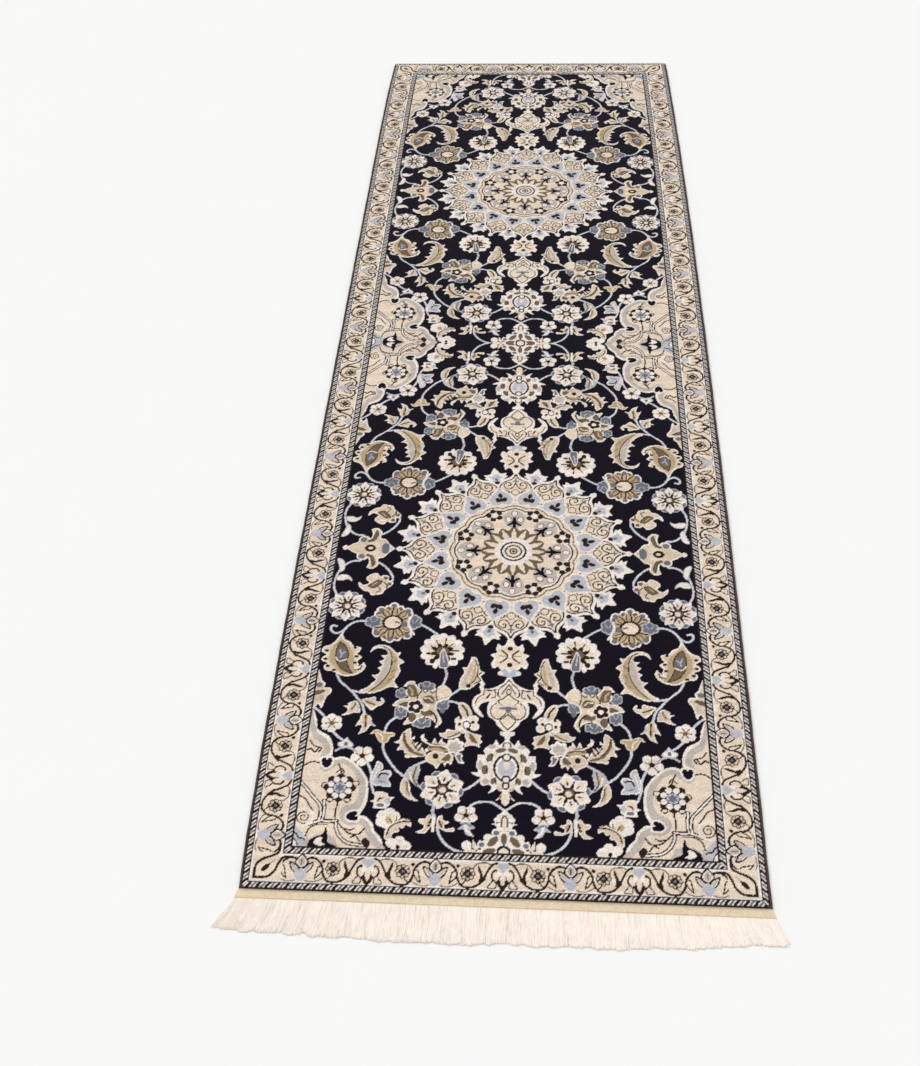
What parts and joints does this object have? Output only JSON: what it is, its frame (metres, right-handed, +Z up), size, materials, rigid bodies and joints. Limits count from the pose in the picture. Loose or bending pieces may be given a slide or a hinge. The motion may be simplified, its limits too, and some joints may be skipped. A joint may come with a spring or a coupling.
{
  "type": "runner rug",
  "caption": "Long hand-knotted pile rug with medallions, striped and vine borders, overcast sides, flat-woven ends and a cotton fringe at one end.",
  "frame": {"origin": "on the underside, in the middle of the knotted area", "axes": "+Z up out of the pile; +Y along the length towards the plain end, so the fringed end is at -Y; +X across the width"},
  "size_m": [0.8494, 2.6885, 0.0079],
  "materials": {
    "raw_cotton": "plain-woven undyed cotton warps and wefts, matt",
    "navy_wool": "cut wool pile, deep navy, matt with a soft sheen",
    "medallion_silk": "cut wool and silk pile in cream with light blue and brown drawing",
    "cream_wool": "cut wool pile in cream with navy, brown and light blue drawing",
    "guard_wool": "cut wool pile, slanted brown, grey-blue and ivory dashes",
    "selvedge_wool": "dark brown wool overcast round a bundle of warps",
    "kilim_cotton": "tightly flat-woven beige cotton",
    "fringe_cotton": "loose combed cotton yarn, warm white, matt"
  },
  "bodies": {
    "root": {"ground_weave": "raw_cotton", "pile_field": "navy_wool", "pile_medallion_near": "medallion_silk", "pile_medallion_far": "medallion_silk", "pile_spandrel_near_left": "cream_wool", "pile_spandrel_near_right": "cream_wool", "pile_spandrel_far_left": "cream_wool", "pile_spandrel_far_right": "cream_wool", "pile_cartouche_left": "cream_wool", "pile_cartouche_right": "cream_wool", "pile_outer_guard_left": "guard_wool", "pile_outer_guard_right": "guard_wool", "pile_outer_guard_near": "guard_wool", "pile_outer_guard_far": "guard_wool", "pile_main_border_left": "cream_wool", "pile_main_border_right": "cream_wool", "pile_main_border_near": "cream_wool", "pile_main_border_far": "cream_wool", "pile_inner_guard_left": "guard_wool", "pile_inner_guard_right": "guard_wool", "pile_inner_guard_near": "guard_wool", "pile_inner_guard_far": "guard_wool", "selvedge_left": "selvedge_wool", "selvedge_right": "selvedge_wool", "kilim_near": "kilim_cotton", "locking_row_near": "kilim_cotton", "kilim_far": "kilim_cotton", "locking_row_far": "kilim_cotton", "fringe_lock_01": "fringe_cotton", "fringe_lock_02": "fringe_cotton", "fringe_lock_03": "fringe_cotton", "fringe_lock_04": "fringe_cotton", "fringe_lock_05": "fringe_cotton", "fringe_lock_06": "fringe_cotton", "fringe_lock_07": "fringe_cotton", "fringe_lock_08": "fringe_cotton", "fringe_lock_09": "fringe_cotton", "fringe_lock_10": "fringe_cotton", "fringe_lock_11": "fringe_cotton", "fringe_lock_12": "fringe_cotton"}
  },
  "joints": []
}
